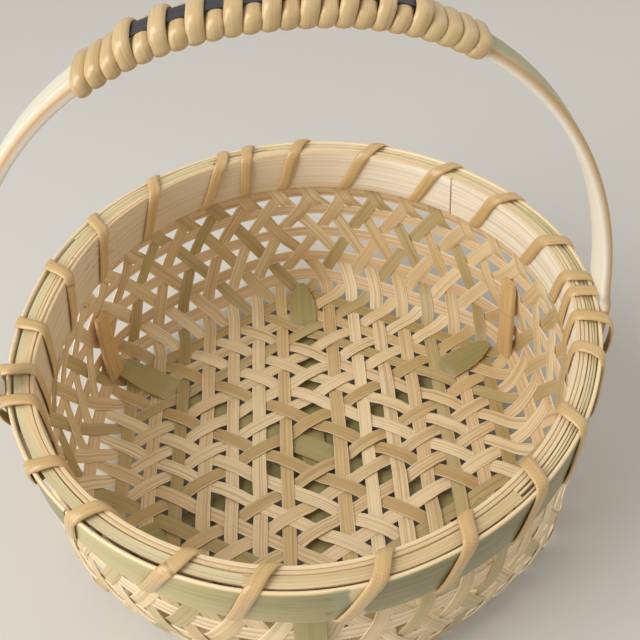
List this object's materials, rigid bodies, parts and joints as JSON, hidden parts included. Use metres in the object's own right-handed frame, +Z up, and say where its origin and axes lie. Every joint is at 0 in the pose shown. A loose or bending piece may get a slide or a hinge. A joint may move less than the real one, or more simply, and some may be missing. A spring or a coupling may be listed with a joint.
{
  "type": "woven basket",
  "caption": "Round woven bamboo basket on a six-sided base, with a lashed double rim and a fixed arched handle bound with cane.",
  "frame": {"origin": "on the ground, under the middle of the whole object's box", "axes": "+Z up; the handle runs along X, turned a few degrees; the picture looks along +Y"},
  "size_m": [0.2534, 0.2488, 0.2551],
  "materials": {
    "strip": "split bamboo, satin",
    "green_strip": "split bamboo with green skin, satin",
    "hoop": "split bamboo, satin",
    "stiffener": "green bamboo skin, satin",
    "post": "bamboo stick, satin",
    "inner_band": "pale split bamboo, satin",
    "outer_band": "bamboo with green skin, satin",
    "inner_filler": "split bamboo, satin",
    "outer_filler": "split bamboo, satin",
    "lashing_cane": "flat cane, glossy",
    "strap": "bamboo strap with green skin, satin",
    "grip_cane": "flat cane, glossy",
    "dark_strip": "dark stained bamboo, glossy"
  },
  "bodies": {
    "root": {"strip_right_1": "strip", "strip_right_2": "strip", "strip_right_3": "strip", "strip_right_4": "strip", "strip_right_5": "green_strip", "strip_right_6": "strip", "strip_right_7": "green_strip", "strip_back_right_1": "strip", "strip_back_right_2": "strip", "strip_back_right_3": "strip", "strip_back_right_4": "strip", "strip_back_right_5": "green_strip", "strip_back_right_6": "strip", "strip_back_right_7": "green_strip", "strip_back_left_1": "strip", "strip_back_left_2": "strip", "strip_back_left_3": "strip", "strip_back_left_4": "strip", "strip_back_left_5": "green_strip", "strip_back_left_6": "strip", "strip_back_left_7": "green_strip", "strip_left_1": "strip", "strip_left_2": "strip", "strip_left_3": "strip", "strip_left_4": "strip", "strip_left_5": "green_strip", "strip_left_6": "strip", "strip_left_7": "green_strip", "strip_front_left_1": "strip", "strip_front_left_2": "strip", "strip_front_left_3": "strip", "strip_front_left_4": "strip", "strip_front_left_5": "green_strip", "strip_front_left_6": "strip", "strip_front_left_7": "green_strip", "strip_front_right_1": "strip", "strip_front_right_2": "strip", "strip_front_right_3": "strip", "strip_front_right_4": "strip", "strip_front_right_5": "green_strip", "strip_front_right_6": "strip", "strip_front_right_7": "green_strip", "wall_hoop_1": "hoop", "wall_hoop_2": "hoop", "wall_hoop_3": "hoop", "wall_hoop_4": "hoop", "wall_hoop_5": "hoop", "base_stiffener_first": "stiffener", "base_stiffener_second": "stiffener", "base_stiffener_third": "stiffener", "side_post_right": "post", "side_post_left": "post", "rim_inner_band": "inner_band", "rim_outer_band": "outer_band", "rim_inner_filler": "inner_filler", "rim_outer_filler": "outer_filler", "rim_lashing": "lashing_cane", "handle_strap": "strap", "grip_winding": "grip_cane", "grip_dark_strip": "dark_strip"}
  },
  "joints": []
}
